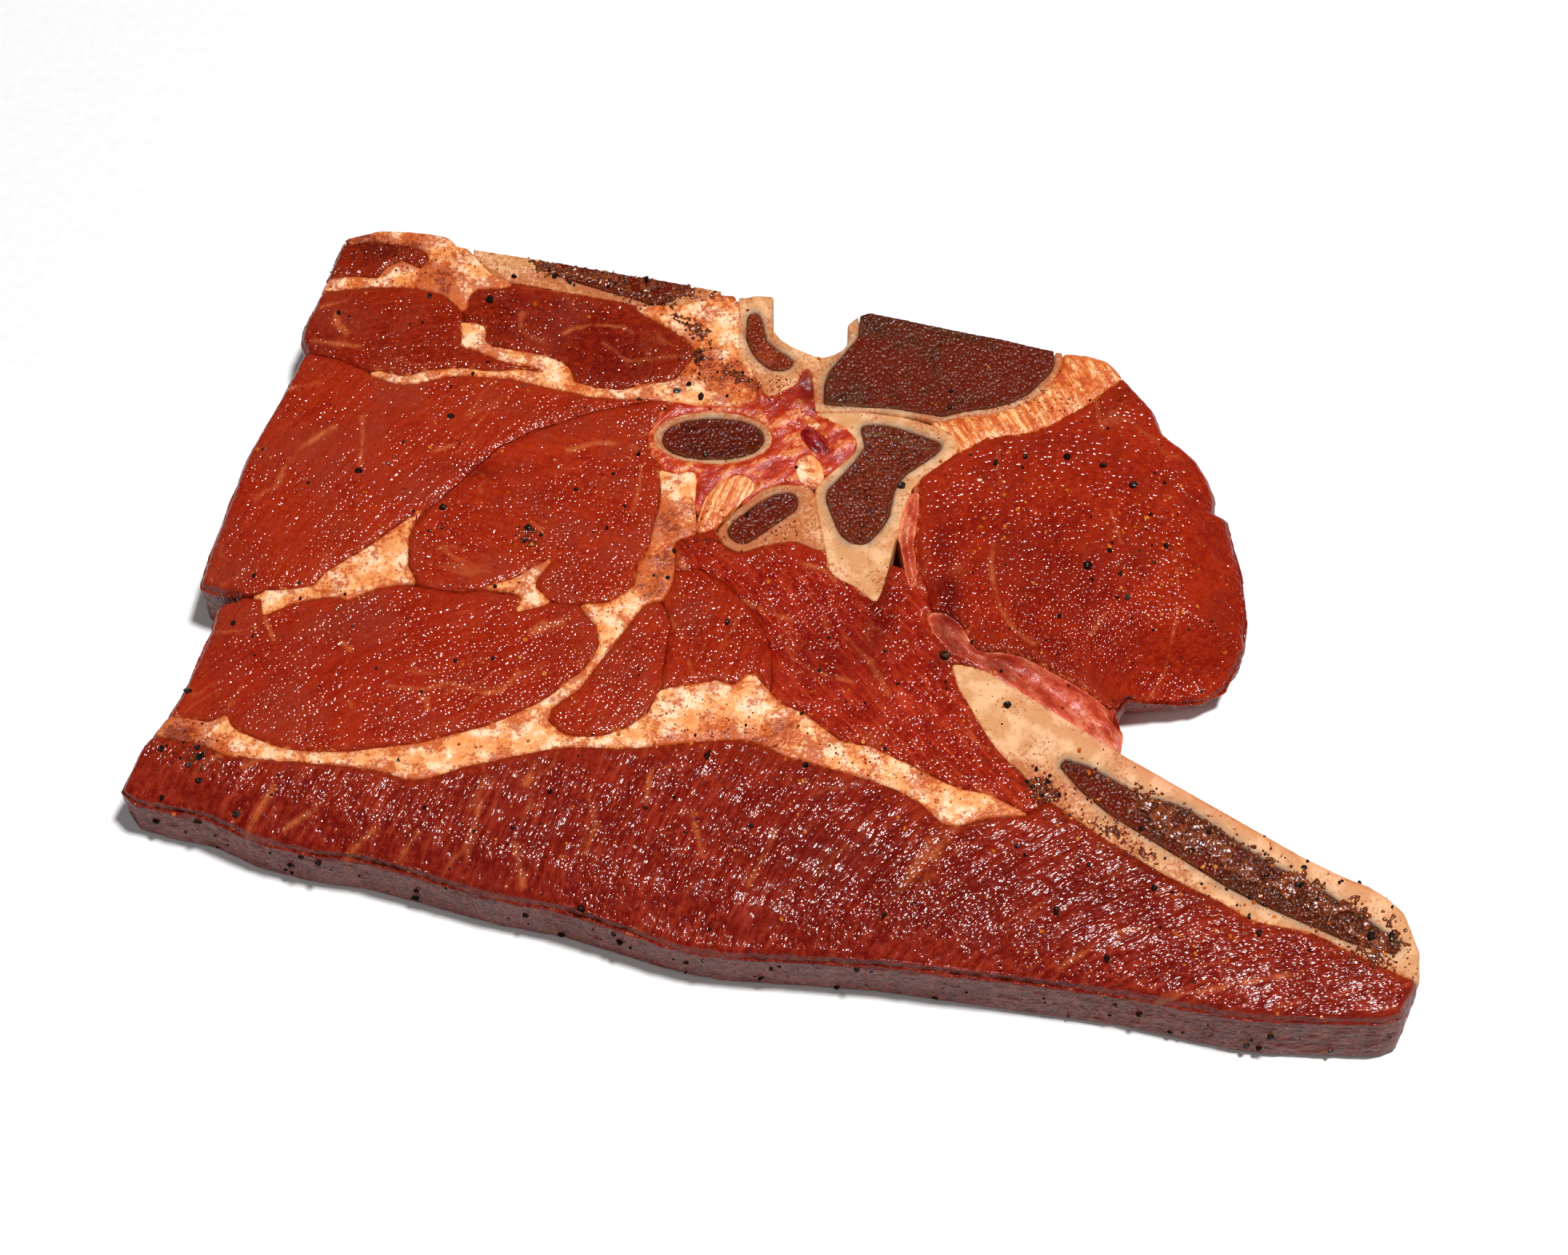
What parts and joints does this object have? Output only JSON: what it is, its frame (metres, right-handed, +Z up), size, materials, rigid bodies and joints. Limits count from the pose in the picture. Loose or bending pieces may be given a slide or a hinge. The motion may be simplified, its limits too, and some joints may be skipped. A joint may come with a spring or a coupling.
{
  "type": "raw beef chuck steak",
  "caption": "Flat slice of raw beef shoulder cut across the backbone and a rib: red muscles, cream fat seams, sawn bone with dark marrow, spice-rubbed top.",
  "frame": {"origin": "middle of the footprint of the whole steak, on the flat underside", "axes": "+X to the right along the length, towards the sawn rib end; +Y away from the viewer, towards the sawn backbone edge; +Z up out of the cut face"},
  "size_m": [0.2902, 0.211, 0.0216],
  "materials": {
    "lean": "wet raw lean beef, brick red, rubbed with oil and red spice",
    "dark_lean": "wet raw lean beef, deep blood red",
    "browned_lean": "wet raw lean beef, brownish red",
    "fat": "soft raw beef fat, cream stained with orange oil",
    "gristle": "moist ligament, membrane and connective tissue, peach to salmon",
    "bone": "sawn bone, ivory, semi-gloss",
    "marrow": "spongy marrow, dark brown, gritty and wet",
    "vessel": "cut vein, dark red, glossy"
  },
  "bodies": {
    "root": {"spine_marrow": "marrow", "arch_marrow": "marrow", "body_marrow": "marrow", "process_marrow": "marrow", "rib_head_marrow": "marrow", "tubercle_marrow": "marrow", "rib_marrow": "marrow", "spinous_bone": "bone", "vertebra": "bone", "process_bone": "bone", "rib_head_bone": "bone", "tubercle_bone": "bone", "rib_bone": "bone", "vein": "vessel", "upper_fat_pearl": "fat", "lower_fat_pearl": "fat", "back_ligament": "gristle", "rib_ligament": "gristle", "vessel_finger": "gristle", "vessel_strip": "gristle", "corner_fat": "fat", "neck_seam_fat": "fat", "left_fat": "fat", "star_fat": "fat", "middle_fat": "fat", "corner_muscle": "dark_lean", "back_muscle": "lean", "spine_muscle": "dark_lean", "neck_muscle": "lean", "middle_muscle": "lean", "oval_muscle": "browned_lean", "inner_muscle": "browned_lean", "lower_muscle": "lean", "joint_tissue": "gristle", "rib_muscle": "dark_lean", "long_muscle": "dark_lean", "round_muscle": "lean"}
  },
  "joints": []
}
